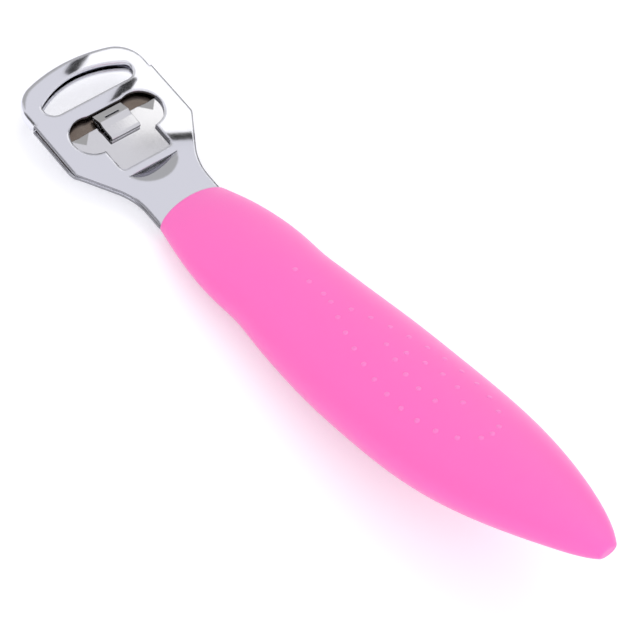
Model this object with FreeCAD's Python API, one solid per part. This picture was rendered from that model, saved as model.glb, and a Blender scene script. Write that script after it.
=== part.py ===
import FreeCAD, Part
import math
import os
from FreeCAD import Placement, Rotation, Vector

# Callus shaver. Two pressed stainless plates form a flat head that holds a slide-in
# blade under a spring leaf. Their joined necks run into a moulded spindle handle.
# All sizes are in millimetres and degrees.

# Sheet metal of the head. Lengths run back from the front edge, along the head.
sheet = 0.7
head_width = 31.0
head_tilt = 16.0
front_bow = 3.4
front_corner_radius = 7.0
plate_length = 25.5
shoulder_length = 11.5
shoulder_radius = 1.6
neck_length = 8.1
neck_width = 16.2
neck_radius = 14.0
rim_length = 10.8
rim_edge_radius = 0.9
rim_notch_radius = 0.9
closure_play = 0.1

# Throat, open through both plates in front of the blade
throat_front = 4.2
throat_rear = 11.3
throat_width = 23.0
throat_bow = 3.5
throat_front_radius = 1.4
throat_rear_radius = 2.6
mouth_front = 4.6
mouth_rear = 12.5

# Window and dished crescent of the upper plate
window_lobe_radius = 4.95
window_lobe_centre = 19.3
window_lobe_spread = 12.8
window_front = 14.7
window_rear = 30.3
window_width = 13.1
window_corner_radius = 1.2
dish_setback = 4.7
dish_length = 3.8
dish_radius = 6.9
dish_depth = 1.2
dish_lance = 0.15

# Blade
blade_front = 11.0
blade_width = 11.6
blade_thickness = 0.45
blade_length = 30.2
blade_bevel = 1.3
blade_play = 0.06
blade_hole_length = 8.0
blade_hole_width = 1.6

# Spring leaf over the blade: two pressed-in noses, and a thumb tab folded back from its front
leaf_sheet = 0.45
leaf_front = 18.0
leaf_width = 25.4
nose_spread = 17.6
nose_width = 4.6
nose_length = 2.4
nose_depth = 0.35
tab_width = 7.4
tab_reach = 2.2
tab_fold_radius = 0.15
tab_rise_angle = 20.0
tab_rise = 2.3
tab_dip_angle = 17.0
tab_dip = 1.0
tab_pad = 2.5
tab_bend_radius = 0.6
tab_roll_radius = 0.2
tab_roll_angle = 170.0
tab_hole_length = 3.6
tab_hole_width = 0.9
tab_hole_place = 17.1

# Tang inside the handle
tang_length = 34.0
tang_width = 13.0
tang_bend_radius = 12.0
tang_taper = 4.0
tang_hole_radius = 2.5
tang_hole_inset = 9.0

# Lower plate: the step from the blade's bed up to the neck
step_length = 4.4
step_play = 0.1

# Handle, in stations back from its mouth: distance, half width, top and bottom
handle_stations = [
    (-2.0, 8.2, 2.6, -3.5),
    (2.0, 9.0, 3.3, -4.2),
    (8.0, 10.5, 4.2, -5.2),
    (16.0, 11.9, 4.7, -6.6),
    (24.0, 12.3, 5.0, -8.1),
    (30.0, 12.2, 5.0, -9.2),
    (35.0, 12.7, 4.8, -10.2),
    (43.0, 13.5, 4.5, -11.5),
    (54.0, 14.3, 4.4, -12.4),
    (68.0, 14.5, 4.4, -12.6),
    (82.0, 14.1, 4.5, -11.6),
    (95.0, 12.4, 4.7, -9.1),
    (106.0, 9.7, 4.5, -6.2),
    (114.0, 7.0, 3.9, -4.0),
    (120.0, 4.3, 2.8, -2.4),
    (123.2, 2.1, 1.5, -1.1),
]
mouth_arc_radius = 36.0
mouth_bulge = 0.1
end_radius = 1.0

# Resting pose: the tool lies on its handle, from the mouth's lower lip to the belly
rest_pitch = -10.2
rest_flat = 0.3

# Worked out from the sizes above
neck_start = plate_length + shoulder_length
head_length = neck_start + neck_length
dish_front = neck_start - dish_setback
dish_rear = dish_front + dish_length
cavity_top = -sheet
leaf_low = cavity_top - leaf_sheet
blade_high = leaf_low - nose_depth - blade_play
blade_low = blade_high - blade_thickness
bed_top = blade_low - blade_play
head_bottom = bed_top - sheet
blade_rear = blade_front + blade_width
step_start = blade_rear + step_play
head_half = head_width / 2
neck_half = neck_width / 2
tang_half = tang_width / 2
tilt = math.radians(head_tilt)
across = Vector(0, 1, 0)


def closed_face(edges):
    return Part.Face(Part.Wire(Part.__sortEdges__(edges)))


def line(a, b):
    return Part.makeLine(Vector(*a), Vector(*b))


def arc(a, b, c):
    return Part.Arc(Vector(*a), Vector(*b), Vector(*c)).toShape()


def block(x0, x1, half_width, z0, z1):
    return Part.makeBox(x1 - x0, 2 * half_width, z1 - z0, Vector(x0, -half_width, z0))


def upright(face, z0, z1):
    """Prism of a flat outline drawn at height 0, from z0 up to z1."""
    solid = face.extrude(Vector(0, 0, z1 - z0))
    solid.translate(Vector(0, 0, z0))
    return solid


def round_corners(solid, radius, spots, reach=1.0):
    """Fillet the upright edges that stand at the given plan positions."""
    chosen = []
    for edge in solid.Edges:
        ends = [vertex.Point for vertex in edge.Vertexes]
        if len(ends) < 2 or math.hypot(ends[0].x - ends[1].x, ends[0].y - ends[1].y) > 1e-6:
            continue
        for x, y in spots:
            if math.hypot(ends[0].x - x, ends[0].y - y) < reach:
                chosen.append(edge)
    return solid.makeFillet(radius, chosen)


def both_sides(x, y):
    return [(x, -y), (x, y)]


def bent_strip(start, moves, thickness, half_width):
    """Sheet of one thickness that follows straight runs and bends, seen from the side.

    start is the upper face's first point and direction. A move is a length, or a pair of
    bend angle and inner radius. A positive angle bends upwards.
    """
    x, z, angle = start
    upper, lower = [], []

    def corner(px, pz, depth, turn):
        return (px + depth * math.sin(turn), 0, pz - depth * math.cos(turn))

    first = corner(x, z, thickness, angle)
    for move in moves:
        if isinstance(move, tuple):
            bend, inner = math.radians(move[0]), move[1]
            side = 1 if bend > 0 else -1
            top_radius = inner if bend > 0 else inner + thickness
            low_radius = inner + thickness if bend > 0 else inner
            cx = x - side * top_radius * math.sin(angle)
            cz = z + side * top_radius * math.cos(angle)
            for edges, radius in ((upper, top_radius), (lower, low_radius)):
                way = [angle, angle + bend / 2, angle + bend]
                spots = [(cx + side * radius * math.sin(a), 0, cz - side * radius * math.cos(a)) for a in way]
                edges.append(arc(*spots))
            angle += bend
            x = cx + side * top_radius * math.sin(angle)
            z = cz - side * top_radius * math.cos(angle)
        else:
            nx, nz = x + move * math.cos(angle), z + move * math.sin(angle)
            upper.append(line((x, 0, z), (nx, 0, nz)))
            lower.append(line(corner(x, z, thickness, angle), corner(nx, nz, thickness, angle)))
            x, z = nx, nz
    ends = [line((start[0], 0, start[1]), first), line((x, 0, z), corner(x, z, thickness, angle))]
    strip = closed_face(upper + lower + ends).extrude(across * (2 * half_width))
    strip.translate(across * -half_width)
    return strip


def head_plan(front_edges, shoulder, half):
    """Plan seen from above: a given front, straight sides, shoulders, neck and tang."""
    tang_start = head_length + tang_taper
    tang_end = head_length + tang_length
    right = [
        (front_edges[-1].Vertexes[-1].X, half, 0),
        (shoulder, half, 0),
        (neck_start, neck_half, 0),
        (head_length, neck_half, 0),
        (tang_start, tang_half, 0),
        (tang_end, tang_half, 0),
    ]
    left = [(x, -y, z) for x, y, z in right]
    edges = list(front_edges)
    for side in (right, left):
        for a, b in zip(side, side[1:]):
            edges.append(line(a, b))
    edges.append(line(left[-1], right[-1]))
    return closed_face(edges)


def plate_prism():
    """Full height prism of the outline that both head plates share."""
    front = arc((front_bow, -head_half, 0), (0, 0, 0), (front_bow, head_half, 0))
    solid = upright(head_plan([front], plate_length, head_half), head_bottom, head_length)
    solid = round_corners(solid, front_corner_radius, both_sides(front_bow, head_half))
    solid = round_corners(solid, shoulder_radius, both_sides(plate_length, head_half))
    return round_corners(solid, neck_radius, both_sides(neck_start, neck_half))


def front_prism(inset, z0, z1, x_end):
    """The plan's front end, drawn in by an inset, as far back as x_end."""
    half = head_half - inset
    corner = front_bow + inset
    edges = [
        arc((corner, -half, 0), (inset, 0, 0), (corner, half, 0)),
        line((corner, half, 0), (x_end, half, 0)),
        line((x_end, half, 0), (x_end, -half, 0)),
        line((x_end, -half, 0), (corner, -half, 0)),
    ]
    solid = upright(closed_face(edges), z0, z1)
    return round_corners(solid, front_corner_radius - inset, both_sides(corner, half))


def throat_cutter(front, rear, z0, z1):
    """Opening with a bowed front edge, a straight rear edge and round ends."""
    half = throat_width / 2
    tip = front + throat_bow
    edges = [
        arc((tip, -half, 0), (front, 0, 0), (tip, half, 0)),
        line((tip, half, 0), (rear, half, 0)),
        line((rear, half, 0), (rear, -half, 0)),
        line((rear, -half, 0), (tip, -half, 0)),
    ]
    solid = upright(closed_face(edges), z0, z1)
    solid = round_corners(solid, throat_rear_radius, both_sides(rear, half))
    return round_corners(solid, throat_front_radius, both_sides(tip, half))


def window_cutter(z0, z1):
    """Two round lobes and a square tail, as one opening."""
    tail = block(window_front, window_rear, window_width / 2, z0, z1)
    tail = round_corners(tail, window_corner_radius, both_sides(window_rear, window_width / 2))
    lobes = []
    for side in (-1, 1):
        centre = Vector(window_lobe_centre, side * window_lobe_spread / 2, z0)
        lobes.append(Part.makeCylinder(window_lobe_radius, z1 - z0, centre))
    return tail.fuse(lobes).removeSplitter()


def dish_plan(front, z0, z1):
    """Crescent between the straight lanced edge and the round rear edge of the dish."""
    disc = Part.makeCylinder(dish_radius, z1 - z0, Vector(dish_rear - dish_radius, 0, z0))
    return disc.common(block(front, dish_rear + 1, dish_radius, z0, z1))


def dished(layer, top, thickness):
    """Lance the crescent out of a neck layer and press it down, nested in the layer above."""
    reach = dish_radius - (dish_rear - dish_front)
    height = (dish_radius ** 2 - reach ** 2 - dish_depth ** 2) / (2 * dish_depth)
    ball = math.hypot(dish_radius, height)
    centre = Vector(dish_rear - dish_radius, 0, height)
    inner = Part.makeSphere(ball - top, centre)
    outer = Part.makeSphere(ball - top + thickness, centre)
    flap = dish_plan(dish_front, head_bottom - 2 * sheet, 1).common(outer.cut(inner))
    hole = dish_plan(dish_front - dish_lance, top - thickness, top)
    return layer.cut(hole).fuse(flap).removeSplitter()


def tang_bend(top):
    """Moves for the bend from the tilted head to the level tang, at a depth in the stack."""
    return [(head_tilt, tang_bend_radius - top), tang_length - 1 - tang_bend_radius * tilt]


def tang_hole():
    """Round key hole near the tang's end, through the whole stack."""
    low = Vector(head_length + tang_length - tang_hole_inset, 0, head_bottom)
    return Part.makeCylinder(tang_hole_radius, head_length, low)


def rolled_cap():
    """Front end of the upper plate, with its edge turned down round front and corners."""
    cap = front_prism(0, head_bottom, 0, rim_length)
    rounded = []
    for edge in cap.Edges:
        box = edge.BoundBox
        if box.ZMin > -1e-6 and box.XMin < rim_length - 1e-3:
            rounded.append(edge)
    cap = cap.makeFillet(rim_edge_radius, rounded)
    cap = cap.cut(front_prism(sheet, head_bottom - 1, cavity_top, rim_length + 1))
    notch = Vector(rim_length, -head_width, head_bottom)
    return cap.cut(Part.makeCylinder(rim_notch_radius, 2 * head_width, notch, across))


def make_upper_plate():
    moves = [head_length + 1 - rim_length] + tang_bend(0)
    band = bent_strip((rim_length, 0, 0), moves, sheet, head_width)
    plate = plate_prism().common(band).fuse(rolled_cap()).removeSplitter()
    plate = plate.cut(throat_cutter(throat_front, throat_rear, head_bottom - 1, 1))
    plate = plate.cut(window_cutter(cavity_top - 1, 1))
    return dished(plate, 0, sheet).cut(tang_hole())


def make_lower_plate():
    rise = leaf_low - bed_top
    swing = 2 * math.atan2(rise, step_length)
    radius = step_length / (2 * math.sin(swing)) - sheet / 2
    front = sheet + closure_play
    neck_run = head_length + 1 - step_start - step_length
    swing = math.degrees(swing)
    moves = [step_start - front, (swing, radius), (-swing, radius), neck_run] + tang_bend(leaf_low)
    band = bent_strip((front, bed_top, 0), moves, sheet, head_width)
    plan = plate_prism()
    plan = plan.cut(block(-1, rim_length, head_width, head_bottom - 1, head_length))
    plan = plan.fuse(front_prism(front, head_bottom, 0, rim_length))
    plate = band.common(plan).removeSplitter()
    plate = plate.cut(throat_cutter(mouth_front, mouth_rear, head_bottom - 1, bed_top + 1))
    return dished(plate, leaf_low, sheet).cut(tang_hole())


def make_blade():
    """Thin strip, ground from both faces to its front edge, with a slot along its middle."""
    ground = blade_front + blade_bevel
    middle = (blade_low + blade_high) / 2
    side = [
        (blade_front, middle),
        (ground, blade_low),
        (blade_rear, blade_low),
        (blade_rear, blade_high),
        (ground, blade_high),
    ]
    corners = [Vector(x, -blade_length / 2, z) for x, z in side]
    blade = Part.Face(Part.makePolygon(corners + corners[:1])).extrude(across * blade_length)
    centre = (ground + blade_rear) / 2
    half = blade_hole_width / 2
    return blade.cut(block(centre - half, centre + half, blade_hole_length / 2, blade_low, blade_high))


def nose_wedge(y, drop):
    """Three-sided wedge, deepest at the leaf's front edge."""
    high = cavity_top - drop
    front = [
        Vector(leaf_front, y - nose_width / 2, high),
        Vector(leaf_front, y, high - nose_depth),
        Vector(leaf_front, y + nose_width / 2, high),
    ]
    tip = Vector(leaf_front + nose_length, y, high)
    faces = [Part.Face(Part.makePolygon(front + front[:1]))]
    for i in range(3):
        a, b = front[i], front[(i + 1) % 3]
        faces.append(Part.Face(Part.makePolygon([a, b, tip, a])))
    return Part.Solid(Part.Shell(faces))


def thumb_tab():
    """Tab that runs forward from the leaf, folds back over itself and ends in a rolled lip."""
    moves = [
        tab_reach + tab_bend_radius,
        (tab_rise_angle - 180, tab_fold_radius),
        tab_rise,
        (-tab_rise_angle - tab_dip_angle, tab_bend_radius),
        tab_dip,
        (tab_dip_angle, tab_bend_radius),
        tab_pad,
        (-tab_roll_angle, tab_roll_radius),
    ]
    start = (leaf_front + tab_bend_radius, leaf_low, math.pi)
    tab = bent_strip(start, moves, leaf_sheet, tab_width / 2)
    hole = block(tab_hole_place, tab_hole_place + tab_hole_width, tab_hole_length / 2, cavity_top + 0.1, sheet)
    return tab.cut(hole)


def make_leaf():
    """Spring leaf, clamped between the plates at the neck and lying over the blade."""
    half = leaf_width / 2
    front = line((leaf_front, -half, 0), (leaf_front, half, 0))
    plan = upright(head_plan([front], plate_length, half), head_bottom, head_length)
    plan = round_corners(plan, neck_radius, both_sides(neck_start, neck_half))
    moves = [head_length + 1 - leaf_front] + tang_bend(cavity_top)
    leaf = plan.common(bent_strip((leaf_front, cavity_top, 0), moves, leaf_sheet, head_width))
    leaf = dished(leaf, cavity_top, leaf_sheet).cut(tang_hole())
    for side in (-1, 1):
        y = side * nose_spread / 2
        leaf = leaf.cut(nose_wedge(y, 0)).fuse(nose_wedge(y, leaf_sheet))
    return leaf.fuse(thumb_tab()).removeSplitter()


def section(station):
    """Upright oval of the handle at one station."""
    x, half, top, bottom = station
    middle = (top + bottom) / 2
    centre = Vector(x, 0, middle)
    oval = Part.Ellipse(centre + across * half, Vector(x, 0, top), centre)
    return Part.Wire(oval.toShape())


def make_handle(plates):
    body = Part.makeLoft([section(station) for station in handle_stations], True, False)
    end = [edge for edge in body.Edges if edge.BoundBox.XMin > handle_stations[-1][0] - 0.1]
    body = body.makeFillet(end_radius, end)
    height = 40
    drum = Part.makeCylinder(mouth_arc_radius, height, Vector(mouth_arc_radius - mouth_bulge, 0, -height / 2))
    rest = block(mouth_arc_radius / 2, 200, height, -height / 2, height / 2)
    body = body.common(drum.fuse(rest))
    return body.cut(plates)


def head_to_tool(shape):
    """Tilt a head part up and bring its neck to the handle's mouth."""
    placed = shape.copy()
    placed.translate(Vector(-head_length, 0, 0))
    placed.rotate(Vector(0, 0, 0), across, head_tilt)
    return placed


def lay_down(parts):
    """Turn all pieces to the resting pose, with a shallow flat on the handle at height 0."""
    for shape in parts.values():
        shape.rotate(Vector(0, 0, 0), across, rest_pitch)
    box = Part.makeCompound(list(parts.values())).optimalBoundingBox()
    shift = Vector(-(box.XMin + box.XMax) / 2, 0, -box.ZMin - rest_flat)
    for shape in parts.values():
        shape.translate(shift)
    below = block(-box.XLength, box.XLength, box.YLength, -box.ZLength, 0)
    parts["handle"] = parts["handle"].cut(below)
    return parts


def make_parts():
    parts = {
        "upper_plate": head_to_tool(make_upper_plate()),
        "spring_leaf": head_to_tool(make_leaf()),
        "lower_plate": head_to_tool(make_lower_plate()),
    }
    parts["handle"] = make_handle(list(parts.values()))
    parts["blade"] = head_to_tool(make_blade())
    return lay_down(parts)


os.makedirs("parts", exist_ok=True)
for name, shape in make_parts().items():
    shape.exportStep("parts/" + name + ".step")
    print(name, shape.ShapeType, len(shape.Solids), "solids", round(shape.Volume, 1), "mm3", shape.isValid())
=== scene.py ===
import math

import bpy
from mathutils import Matrix, Vector
from mathutils.bvhtree import BVHTree


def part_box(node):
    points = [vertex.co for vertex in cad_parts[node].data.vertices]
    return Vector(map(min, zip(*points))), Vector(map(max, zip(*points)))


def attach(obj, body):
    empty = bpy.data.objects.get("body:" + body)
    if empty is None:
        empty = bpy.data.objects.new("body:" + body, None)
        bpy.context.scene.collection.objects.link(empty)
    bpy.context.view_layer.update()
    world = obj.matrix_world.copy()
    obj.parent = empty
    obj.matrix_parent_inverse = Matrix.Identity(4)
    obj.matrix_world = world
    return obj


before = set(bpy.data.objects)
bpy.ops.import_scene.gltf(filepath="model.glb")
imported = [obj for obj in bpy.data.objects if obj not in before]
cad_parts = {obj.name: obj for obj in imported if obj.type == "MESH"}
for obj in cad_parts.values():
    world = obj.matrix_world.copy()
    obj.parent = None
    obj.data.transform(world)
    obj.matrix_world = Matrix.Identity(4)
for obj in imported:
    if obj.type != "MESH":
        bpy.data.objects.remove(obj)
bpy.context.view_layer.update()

mm = 0.001
pureWhite = (1.0, 1.0, 1.0, 1.0)
print("frame loaded:", ", ".join(sorted(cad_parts)))


def hexColour(text):
    # sRGB hex to the linear values that shader sockets take
    channels = [int(text[i:i + 2], 16) / 255 for i in (0, 2, 4)]
    linear = [c / 12.92 if c <= 0.04045 else ((c + 0.055) / 1.055) ** 2.4 for c in channels]
    return (*linear, 1.0)


def addNode(tree, kind, settings=None, links=None):
    # settings hold the node's own options and its input values, links its inputs' sources. Inputs
    # that share one name go by number
    node = tree.nodes.new(kind)
    for key, value in (settings or {}).items():
        if isinstance(key, int) or key in node.inputs:
            node.inputs[key].default_value = value
        else:
            setattr(node, key, value)
    for key, socket in (links or {}).items():
        tree.links.new(socket, node.inputs[key])
    return node


def newMaterial(name):
    material = bpy.data.materials.new(name)
    material.use_nodes = True
    material.node_tree.nodes.clear()
    return material, material.node_tree


def giveMaterial(piece, material):
    piece.data.materials.clear()
    piece.data.materials.append(material)
    for face in piece.data.polygons:
        face.material_index = 0


def deselectAll():
    if bpy.context.object and bpy.context.object.mode != "OBJECT":
        bpy.ops.object.mode_set(mode="OBJECT")
    bpy.ops.object.select_all(action="DESELECT")


# Camera: a short telephoto shot from above, over the handle towards the head
cameraSetup = {
    "azimuth": 43.41,
    "elevation": 52.27,
    "roll": 8.86,
    "distance": 485.3 * mm,
    "target": (0.28 * mm, 0.0, 10.46 * mm),
    "lens": 136.5,
    "sensor": 36.0,
    "shiftX": 0.01535,
    "shiftY": -0.02314,
    "clipStart": 10 * mm,
}


def setUpCamera(setup):
    azimuth, elevation = math.radians(setup["azimuth"]), math.radians(setup["elevation"])
    view = Vector((
        -math.sin(azimuth) * math.cos(elevation),
        math.cos(azimuth) * math.cos(elevation),
        -math.sin(elevation),
    ))
    level = Vector((math.cos(azimuth), math.sin(azimuth), 0))
    right = Matrix.Rotation(math.radians(-setup["roll"]), 3, view) @ level
    up = right.cross(view)
    data = bpy.data.cameras.new("photoCamera")
    data.lens = setup["lens"]
    data.sensor_width = setup["sensor"]
    data.shift_x = setup["shiftX"]
    data.shift_y = setup["shiftY"]
    data.clip_start = setup["clipStart"]
    camera = bpy.data.objects.new("photoCamera", data)
    bpy.context.scene.collection.objects.link(camera)
    place = Vector(setup["target"]) - view * setup["distance"]
    turn = Matrix((right, up, -view)).transposed().to_4x4()
    camera.matrix_world = Matrix.Translation(place) @ turn
    bpy.context.scene.camera = camera


setUpCamera(cameraSetup)
print("camera placed")


# Stage: a pale table in a white light tent, with soft lamps. The metal mirrors white cards with
# dark frames, and grey and dark tent walls, which only glossy rays see. Places are in metres
stageSetup = {
    "tableSize": 6.0,
    "tableColour": "e6e6e8",
    "tableGlow": 0.32,
    "roomColour": "f2f2f8",
    "roomLevel": 0.92,
    "mirrorLevel": 0.88,
    "lamps": (
        {"place": (-0.22, 0.45, 0.70), "size": 0.7, "power": 1.5},
        {"place": (0.12, -0.60, 0.20), "size": 0.5, "power": 1.0},
        {"place": (0.60, 0.12, 0.32), "size": 0.5, "power": 1.1},
    ),
    "cardLevel": 1.28,
    "cardHeight": 0.6,
    "cards": (                 # four corners each
        ((-0.3485, 0.2905), (-0.3315, 0.319), (-0.300, 0.80), (-0.586, 0.80)),
        ((-0.3205, 0.298), (-0.305, 0.298), (-0.054, 0.80), (-0.586, 0.80)),
    ),
    "frames": (                # start, end and width of a dark strip along the left of its line
        ((-0.3485, 0.2905), (-0.3625, 0.3205), 0.0055),
        ((-0.3205, 0.298), (-0.3315, 0.319), 0.0060),
        ((-0.275, 0.358), (-0.305, 0.298), 0.0045),
    ),
    "frameLevel": 0.04,
    "frameDrop": 1 * mm,       # the strips hang just under the cards
    "wallDistance": 1.2,
    "walls": (                 # turn in degrees round from +X
        {"turn": 106, "width": 0.9, "low": 0.02, "high": 1.25, "level": 0.10},
        {"turn": -116, "width": 1.0, "low": 0.02, "high": 2.4, "level": 0.14},
        {"turn": 168, "width": 1.3, "low": 0.10, "high": 1.95, "level": 0.46},
        {"turn": 131, "width": 0.5, "low": 0.10, "high": 1.46, "level": 0.46},
    ),
}


def seenDirectly(tree):
    # 1 for rays from the camera or through glass, 0 for the light on the object
    path = addNode(tree, "ShaderNodeLightPath")
    either = addNode(tree, "ShaderNodeMath", {"operation": "MAXIMUM"}, {
        0: path.outputs["Is Camera Ray"], 1: path.outputs["Is Transmission Ray"],
    })
    return path, either.outputs[0]


def makeTable(setup):
    bpy.ops.mesh.primitive_plane_add(size=setup["tableSize"], location=(0, 0, 0))
    table = bpy.context.object
    table.name = "paleTable"
    material, tree = newMaterial("matteLaminateTable")
    # a matte pale surface keeps the soft shadow, its glow brings the open table up to white
    path, direct = seenDirectly(tree)
    either = addNode(tree, "ShaderNodeMath", {"operation": "MAXIMUM"},
                     {0: direct, 1: path.outputs["Is Glossy Ray"]})
    glowLevel = addNode(tree, "ShaderNodeMath", {"operation": "MULTIPLY", 1: setup["tableGlow"]},
                        {0: either.outputs[0]})
    base = addNode(tree, "ShaderNodeBsdfDiffuse", {"Color": hexColour(setup["tableColour"])})
    glow = addNode(tree, "ShaderNodeEmission", {"Color": pureWhite},
                   {"Strength": glowLevel.outputs[0]})
    both = addNode(tree, "ShaderNodeAddShader", None, {0: base.outputs[0], 1: glow.outputs[0]})
    addNode(tree, "ShaderNodeOutputMaterial", None, {"Surface": both.outputs[0]})
    giveMaterial(table, material)


def makeRoom(setup):
    world = bpy.data.worlds.new("softWhiteRoom")
    bpy.context.scene.world = world
    world.use_nodes = True
    tree = world.node_tree
    tree.nodes.clear()
    path, direct = seenDirectly(tree)
    colour = hexColour(setup["roomColour"])
    # what lights the object, what its gloss mirrors, and what the camera sees
    light = addNode(tree, "ShaderNodeBackground",
                    {"Color": colour, "Strength": setup["roomLevel"]})
    mirror = addNode(tree, "ShaderNodeBackground",
                     {"Color": colour, "Strength": setup["mirrorLevel"]})
    white = addNode(tree, "ShaderNodeBackground", {"Color": pureWhite, "Strength": 1.0})
    glossy = addNode(tree, "ShaderNodeMixShader", None, {
        "Fac": path.outputs["Is Glossy Ray"], 1: light.outputs[0], 2: mirror.outputs[0],
    })
    seen = addNode(tree, "ShaderNodeMixShader", None, {
        "Fac": direct, 1: glossy.outputs[0], 2: white.outputs[0],
    })
    addNode(tree, "ShaderNodeOutputWorld", None, {"Surface": seen.outputs[0]})


def makeLamps(setup):
    for spot in setup["lamps"]:
        data = bpy.data.lights.new("softLamp", "AREA")
        data.shape = "SQUARE"
        data.size = spot["size"]
        data.energy = spot["power"]
        lamp = bpy.data.objects.new("softLamp", data)
        bpy.context.scene.collection.objects.link(lamp)
        lamp.location = spot["place"]
        lamp.rotation_euler = Vector(spot["place"]).to_track_quat("Z", "Y").to_euler()
        lamp.visible_glossy = False


def mirroredOnly(piece, name, level):
    # a card that only the gloss of the object sees
    material, tree = newMaterial(name)
    path = addNode(tree, "ShaderNodeLightPath")
    glow = addNode(tree, "ShaderNodeEmission", {"Color": pureWhite, "Strength": level})
    clear = addNode(tree, "ShaderNodeBsdfTransparent")
    mix = addNode(tree, "ShaderNodeMixShader", None, {
        "Fac": path.outputs["Is Glossy Ray"], 1: clear.outputs[0], 2: glow.outputs[0],
    })
    addNode(tree, "ShaderNodeOutputMaterial", None, {"Surface": mix.outputs[0]})
    giveMaterial(piece, material)
    piece.name = name
    piece.visible_camera = False
    piece.visible_shadow = False
    piece.visible_diffuse = False
    piece.visible_transmission = False


def levelCard(corners, height):
    # a level four-sided card over the table
    bpy.ops.mesh.primitive_plane_add(size=1, location=(0, 0, 0))
    card = bpy.context.object
    a, b, c, d = corners
    for vertex, (x, y) in zip(card.data.vertices, (a, b, d, c)):
        vertex.co = (x, y, height)
    return card


def makeCards(setup):
    for corners in setup["cards"]:
        mirroredOnly(levelCard(corners, setup["cardHeight"]), "whiteCard", setup["cardLevel"])
    frameHeight = setup["cardHeight"] - setup["frameDrop"]
    for start, end, width in setup["frames"]:
        start, end = Vector(start), Vector(end)
        along = (end - start).normalized()
        beside = Vector((-along.y, along.x)) * width
        corners = (start, end, end + beside, start + beside)
        mirroredOnly(levelCard(corners, frameHeight), "cardFrame", setup["frameLevel"])


def makeWalls(setup):
    # upright panels round the tool: two dark ones give the polished edges their lines, and two
    # grey ones ahead of the head shade the dish
    distance = setup["wallDistance"]
    for wall in setup["walls"]:
        turn = math.radians(wall["turn"])
        low, high = wall["low"], wall["high"]
        bpy.ops.mesh.primitive_plane_add(
            size=1, rotation=(math.pi / 2, 0, turn + math.pi / 2),
            location=(math.cos(turn) * distance, math.sin(turn) * distance, (low + high) / 2))
        panel = bpy.context.object
        panel.scale = (wall["width"], high - low, 1)
        mirroredOnly(panel, "tentWall", wall["level"])


deselectAll()
makeTable(stageSetup)
makeRoom(stageSetup)
makeLamps(stageSetup)
makeCards(stageSetup)
makeWalls(stageSetup)
print("stage lit")


# Metals. A metal's colour is its reflectance, so the slots hold pale greys
stainlessSetup = {
    "colour": "eaeaf0",
    "roughness": 0.02,
    "smudge": 0.015,       # polishing leaves faint duller clouds
    "cloudSize": 7.0,      # mm across one cloud
    "waveSize": 9.0,       # mm from crest to crest of the pressed sheet's faint waviness
    "waveDepth": 0.0015,   # mm
    "edgeRound": 0.8,      # mm, the roll-over of a pressed edge
    "cutFrom": -72.5,      # mm, the sheared edges start behind the turned-down rim
    # painted shade: the cut walls are drawn darker than the steel's own grey
    "paintedEdgeShade": "9d9da3",
    "cutRoughness": 0.28,
}

# The head's sheets lie at a slant, and their sheared walls stand up from them
sheetSetup = {
    "up": (0.101, 0.0, 0.995),
    "wallLimit": 0.35,     # a face whose normal rises less than this along up is a wall
}


def shearedEdges(tree, place, cutFrom):
    # 1 on the sheet's cut walls, 0 on its faces and ahead of cutFrom, as on the turned-down rim
    # the walls it picks out carry painted shade, a darker grey than the sheet's own
    rise = addNode(tree, "ShaderNodeVectorMath", {
        "operation": "DOT_PRODUCT", 1: sheetSetup["up"],
    }, {0: place.outputs["Normal"]})
    lean = addNode(tree, "ShaderNodeMath", {"operation": "ABSOLUTE"}, {0: rise.outputs["Value"]})
    wall = addNode(tree, "ShaderNodeMath",
                   {"operation": "LESS_THAN", 1: sheetSetup["wallLimit"]}, {0: lean.outputs[0]})
    spot = addNode(tree, "ShaderNodeSeparateXYZ", None, {"Vector": place.outputs["Object"]})
    behind = addNode(tree, "ShaderNodeMath",
                     {"operation": "GREATER_THAN", 1: cutFrom * mm}, {0: spot.outputs["X"]})
    both = addNode(tree, "ShaderNodeMath", {"operation": "MULTIPLY"},
                   {0: wall.outputs[0], 1: behind.outputs[0]})
    return both.outputs[0]


def polishedStainless(setup):
    # Cold-rolled stainless sheet, pressed and polished bright: a near mirror, soft at its edges
    material, tree = newMaterial("polishedStainlessSheet")
    place = addNode(tree, "ShaderNodeTexCoord")
    clouds = addNode(tree, "ShaderNodeTexNoise", {
        "Scale": 1 / (setup["cloudSize"] * mm), "Detail": 3.0, "Roughness": 0.6,
    }, {"Vector": place.outputs["Object"]})
    dull = addNode(tree, "ShaderNodeMapRange", {
        "From Min": 0.4, "From Max": 0.75,
        "To Min": setup["roughness"], "To Max": setup["roughness"] + setup["smudge"],
    }, {"Value": clouds.outputs["Fac"]})
    waves = addNode(tree, "ShaderNodeTexNoise", {
        "Scale": 1 / (setup["waveSize"] * mm), "Detail": 1.0, "Roughness": 0.4,
    }, {"Vector": place.outputs["Object"]})
    edges = addNode(tree, "ShaderNodeBevel", {"samples": 6, "Radius": setup["edgeRound"] * mm})
    relief = addNode(tree, "ShaderNodeBump", {
        "Strength": 1.0, "Distance": setup["waveDepth"] * mm,
    }, {"Height": waves.outputs["Fac"], "Normal": edges.outputs["Normal"]})
    cut = shearedEdges(tree, place, setup["cutFrom"])
    # the cut walls get painted shade, a darker grey, and a real rougher finish
    tone = addNode(tree, "ShaderNodeMix", {
        "data_type": "RGBA", "A": hexColour(setup["colour"]), "B": hexColour(setup["paintedEdgeShade"]),
    }, {"Factor": cut})
    coarse = addNode(tree, "ShaderNodeMapRange", {"To Max": setup["cutRoughness"]},
                     {"Value": cut, "To Min": dull.outputs["Result"]})
    shader = addNode(tree, "ShaderNodeBsdfPrincipled", {"Metallic": 1.0}, {
        "Base Color": tone.outputs["Result"], "Roughness": coarse.outputs["Result"],
        "Normal": relief.outputs["Normal"],
    })
    addNode(tree, "ShaderNodeOutputMaterial", None, {"Surface": shader.outputs[0]})
    return material


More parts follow.
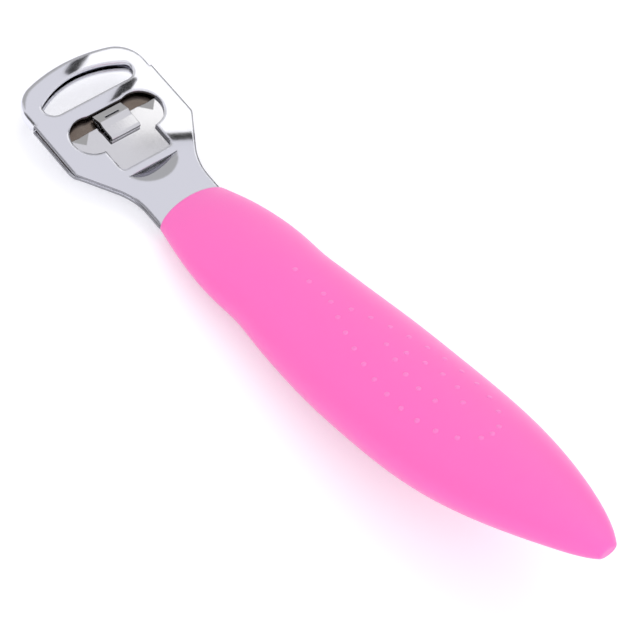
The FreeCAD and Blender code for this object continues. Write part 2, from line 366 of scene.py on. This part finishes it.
springSetup = {
    "colour": "e4e3e5",
    "roughness": 0.07,
    "grainSize": 0.25,     # mm, rolling lines along the leaf, coarser than real so that they show
    "grainDepth": 0.0012,  # mm
    "edgeRound": 0.25,     # mm
    "cutFrom": -80.0,      # mm, ahead of the whole leaf
    # painted shade: the leaf's cut walls, round its tab too, drawn darker than its own grey
    "paintedEdgeShade": "7c7b7d",
}


def rolledSpringSteel(setup):
    # Bright-rolled spring strip: fine lines along it, a little warmer and duller than the plates
    material, tree = newMaterial("rolledSpringSteel")
    place = addNode(tree, "ShaderNodeTexCoord")
    stretch = addNode(tree, "ShaderNodeMapping", {"Scale": (0.03, 1.0, 0.03)},
                      {"Vector": place.outputs["Object"]})
    grain = addNode(tree, "ShaderNodeTexNoise", {
        "Scale": 1 / (setup["grainSize"] * mm), "Detail": 2.0,
    }, {"Vector": stretch.outputs["Vector"]})
    edges = addNode(tree, "ShaderNodeBevel", {"samples": 4, "Radius": setup["edgeRound"] * mm})
    relief = addNode(tree, "ShaderNodeBump", {
        "Strength": 1.0, "Distance": setup["grainDepth"] * mm,
    }, {"Height": grain.outputs["Fac"], "Normal": edges.outputs["Normal"]})
    # the cut walls get painted shade, a darker grey than the strip's own
    tone = addNode(tree, "ShaderNodeMix", {
        "data_type": "RGBA", "A": hexColour(setup["colour"]), "B": hexColour(setup["paintedEdgeShade"]),
    }, {"Factor": shearedEdges(tree, place, setup["cutFrom"])})
    shader = addNode(tree, "ShaderNodeBsdfPrincipled", {
        "Metallic": 1.0, "Roughness": setup["roughness"],
    }, {"Base Color": tone.outputs["Result"], "Normal": relief.outputs["Normal"]})
    addNode(tree, "ShaderNodeOutputMaterial", None, {"Surface": shader.outputs[0]})
    return material


bladeSetup = {
    # painted shade: a brown-grey far darker than the steel's own, as under the upper plate
    "colour": "8f857c",
    "oilColour": "6d5f55",
    "roughness": 0.22,
    "grindSize": 0.18,     # mm between grinding lines across the edge, coarser than real
    "grindDepth": 0.002,   # mm
    "blotch": 4.0,         # mm across one blotch of the rust-proofing oil
}


def groundBladeSteel(setup):
    # Hardened carbon steel strip, ground bright and oiled. Its tone, darker and browner than
    # stainless, is painted shade
    material, tree = newMaterial("groundBladeSteel")
    place = addNode(tree, "ShaderNodeTexCoord")
    stretch = addNode(tree, "ShaderNodeMapping", {"Scale": (0.05, 1.0, 0.05)},
                      {"Vector": place.outputs["Object"]})
    lines = addNode(tree, "ShaderNodeTexNoise", {
        "Scale": 1 / (setup["grindSize"] * mm), "Detail": 2.0,
    }, {"Vector": stretch.outputs["Vector"]})
    oil = addNode(tree, "ShaderNodeTexNoise", {
        "Scale": 1 / (setup["blotch"] * mm), "Detail": 3.0,
    }, {"Vector": place.outputs["Object"]})
    tint = addNode(tree, "ShaderNodeMix", {
        "data_type": "RGBA", "A": hexColour(setup["colour"]), "B": hexColour(setup["oilColour"]),
    }, {"Factor": oil.outputs["Fac"]})
    relief = addNode(tree, "ShaderNodeBump", {
        "Strength": 1.0, "Distance": setup["grindDepth"] * mm,
    }, {"Height": lines.outputs["Fac"]})
    shader = addNode(tree, "ShaderNodeBsdfPrincipled", {
        "Metallic": 1.0, "Roughness": setup["roughness"],
    }, {"Base Color": tint.outputs["Result"], "Normal": relief.outputs["Normal"]})
    addNode(tree, "ShaderNodeOutputMaterial", None, {"Surface": shader.outputs[0]})
    return material


plasticSetup = {
    "name": "softTouchPolypropylene",
    "colour": "ff6cbf",
    "deepColour": "fe67bc",
    "roughness": 0.42,
    "sparkSize": 0.35,     # mm, the matte grain of a spark-eroded mould, coarser than real
    "sparkDepth": 0.006,   # mm
    "flowSize": 38.0,      # mm across one cloud of the pigment
    "scatter": 0.12,
    "scatterDepth": 2.2,   # mm
    "velvet": 0.6,         # the soft-touch skin pales towards its outline
    "velvetColour": "ffd0e4",
    "edgeRound": 0.5,      # mm
}

# The dots are drilled into the mould and come out smoother than its spark-eroded skin. Their
# paler colour is a painted highlight on the same plastic
dotPlasticSetup = {
    **plasticSetup,
    "name": "smoothPolypropyleneDot",
    # painted highlight: paler than the handle's own pink
    "colour": "ff7cc8",
    "deepColour": "ff79c5",
    "roughness": 0.28,
    "sparkDepth": 0.0,
    "edgeRound": 0.0,
}


def softTouchPlastic(setup):
    # Moulded soft-touch polypropylene: satin, a little light passes into its skin
    material, tree = newMaterial(setup["name"])
    place = addNode(tree, "ShaderNodeTexCoord")
    flow = addNode(tree, "ShaderNodeTexNoise", {
        "Scale": 1 / (setup["flowSize"] * mm), "Detail": 2.0,
    }, {"Vector": place.outputs["Object"]})
    tint = addNode(tree, "ShaderNodeMix", {
        "data_type": "RGBA", "A": hexColour(setup["colour"]), "B": hexColour(setup["deepColour"]),
    }, {"Factor": flow.outputs["Fac"]})
    spark = addNode(tree, "ShaderNodeTexNoise", {
        "Scale": 1 / (setup["sparkSize"] * mm), "Detail": 2.0,
    }, {"Vector": place.outputs["Object"]})
    edges = addNode(tree, "ShaderNodeBevel", {"samples": 4, "Radius": setup["edgeRound"] * mm})
    relief = addNode(tree, "ShaderNodeBump", {
        "Strength": 1.0, "Distance": setup["sparkDepth"] * mm,
    }, {"Height": spark.outputs["Fac"], "Normal": edges.outputs["Normal"]})
    shader = addNode(tree, "ShaderNodeBsdfPrincipled", {
        "Roughness": setup["roughness"], "IOR": 1.49, "Subsurface Weight": setup["scatter"],
        "Subsurface Scale": setup["scatterDepth"] * mm, "Subsurface Radius": (1.0, 0.35, 0.6),
        "Sheen Weight": setup["velvet"], "Sheen Roughness": 0.5,
        "Sheen Tint": hexColour(setup["velvetColour"]),
    }, {"Base Color": tint.outputs["Result"], "Normal": relief.outputs["Normal"]})
    addNode(tree, "ShaderNodeOutputMaterial", None, {"Surface": shader.outputs[0]})
    return material


stainless = polishedStainless(stainlessSetup)
springSteel = rolledSpringSteel(springSetup)
bladeSteel = groundBladeSteel(bladeSetup)
pinkPlastic = softTouchPlastic(plasticSetup)
dotPlastic = softTouchPlastic(dotPlasticSetup)
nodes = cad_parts
giveMaterial(nodes["upper_plate"], stainless)
giveMaterial(nodes["lower_plate"], stainless)
giveMaterial(nodes["spring_leaf"], springSteel)
giveMaterial(nodes["blade"], bladeSteel)
giveMaterial(nodes["handle"], pinkPlastic)
print("materials given")


# Raised grip dots on the handle's top: a line of dots that opens into two nested drops
dotSetup = {
    "width": 1.1 * mm,
    "height": 0.17 * mm,
    "segments": 12,
    "rings": 8,
    "capFrom": 0.4,        # share of the height where the cap ends and its skirt starts
    "cutTolerance": 0.001 * mm,    # Blender's own, 0.1 mm, is too coarse for a dot
    "skirtSpread": 1.25,   # the skirt's foot against the cap's rim
    "skirtDrop": 0.7,      # the skirt's depth as a share of the height
    "smoothUpTo": 60,      # degrees
    "mouth": -38.9 * mm,   # the handle's front end, at its crest
    "lean": 0.984,         # level run of each step along the handle, which lies at a slant
    "spacing": 4.4 * mm,
    "stemFront": 33.0,     # mm back from the handle's front end, along its crest
    "stemDots": 3,
    "stemAside": 1.2 * mm,   # the pattern lies a little to one side of the crest
    "drops": (             # mm; bulge is 1.3 times the drop's greatest half width
        {"front": 44.5, "rear": 91.2, "bulge": 10.2, "aside": 0.9},
        {"front": 60.5, "rear": 81.8, "bulge": 4.1, "aside": 1.5},
    ),
    "castFrom": 0.1,       # m above the handle, where the rays that find its skin start
}


def dropOutline(drop, spacing):
    # half a drop: pointed in front, round behind, walked in even steps
    length = (drop["rear"] - drop["front"]) * mm
    walk, points = 0.0, [(0.0, 0.0)]
    last = (0.0, 0.0)
    steps = 400
    for i in range(1, steps + 1):
        share = math.sin(math.pi * i / steps / 2) ** 2
        here = (length * share, 2 * drop["bulge"] * mm * share * math.sqrt(1 - share))
        walk += math.dist(here, last)
        last = here
        if walk >= spacing:
            points.append(here)
            walk = 0.0
    if walk > spacing / 2:
        points.append((length, 0.0))
    return [(drop["front"] * mm + x, y) for x, y in points]


def dotPlaces(setup):
    spots = [(setup["stemFront"] * mm + i * setup["spacing"], setup["stemAside"])
             for i in range(setup["stemDots"])]
    for drop in setup["drops"]:
        aside = drop["aside"] * mm
        for x, y in dropOutline(drop, setup["spacing"]):
            spots.append((x, aside + y))
            if y > setup["width"]:
                spots.append((x, aside - y))
    return spots


def makeDotPattern(setup):
    # keep a flat sphere's cap, give it a soft skirt down into the skin, and close it below
    height, spread = setup["height"], setup["skirtSpread"]
    deselectAll()
    bpy.ops.mesh.primitive_uv_sphere_add(
        segments=setup["segments"], ring_count=setup["rings"], radius=setup["width"] / 2)
    pattern = bpy.context.object
    pattern.scale = (1, 1, 2 * height / setup["width"])
    bpy.ops.object.transform_apply(location=False, rotation=False, scale=True)
    bpy.ops.object.mode_set(mode="EDIT")
    bpy.ops.mesh.select_all(action="SELECT")
    bpy.ops.mesh.bisect(plane_co=(0, 0, setup["capFrom"] * height), plane_no=(0, 0, 1),
                        clear_inner=True, threshold=setup["cutTolerance"])
    bpy.ops.mesh.extrude_edges_move()
    bpy.ops.transform.resize(value=(spread, spread, 1), center_override=(0, 0, 0))
    bpy.ops.transform.translate(value=(0, 0, -setup["skirtDrop"] * height))
    bpy.ops.mesh.edge_face_add()
    bpy.ops.mesh.select_all(action="SELECT")
    bpy.ops.mesh.normals_make_consistent(inside=False)
    bpy.ops.object.mode_set(mode="OBJECT")
    return pattern


def makeDots(setup):
    mesh = nodes["handle"].data
    skin = BVHTree.FromPolygons([v.co for v in mesh.vertices],
                                [f.vertices for f in mesh.polygons])
    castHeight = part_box("handle")[1].z + setup["castFrom"]
    pattern = makeDotPattern(setup)
    dots = []
    for x, y in dotPlaces(setup):
        above = Vector((setup["mouth"] + setup["lean"] * x, y, castHeight))
        point, normal, _, _ = skin.ray_cast(above, Vector((0, 0, -1)))
        if point is None:
            continue
        dot = pattern.copy()
        dot.data = pattern.data.copy()
        bpy.context.scene.collection.objects.link(dot)
        turn = normal.to_track_quat("Z", "Y").to_matrix().to_4x4()
        dot.data.transform(Matrix.Translation(point) @ turn)
        dots.append(dot)
    bpy.data.objects.remove(pattern)
    deselectAll()
    for dot in dots:
        dot.select_set(True)
    bpy.context.view_layer.objects.active = dots[0]
    bpy.ops.object.join()
    grip = bpy.context.object
    grip.name = "gripDots"
    bpy.ops.object.shade_smooth_by_angle(angle=math.radians(setup["smoothUpTo"]))
    giveMaterial(grip, dotPlastic)
    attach(grip, "shaver")
    print("raised dots:", len(dots))


makeDots(dotSetup)

bpy.context.scene.view_settings.view_transform = "Standard"
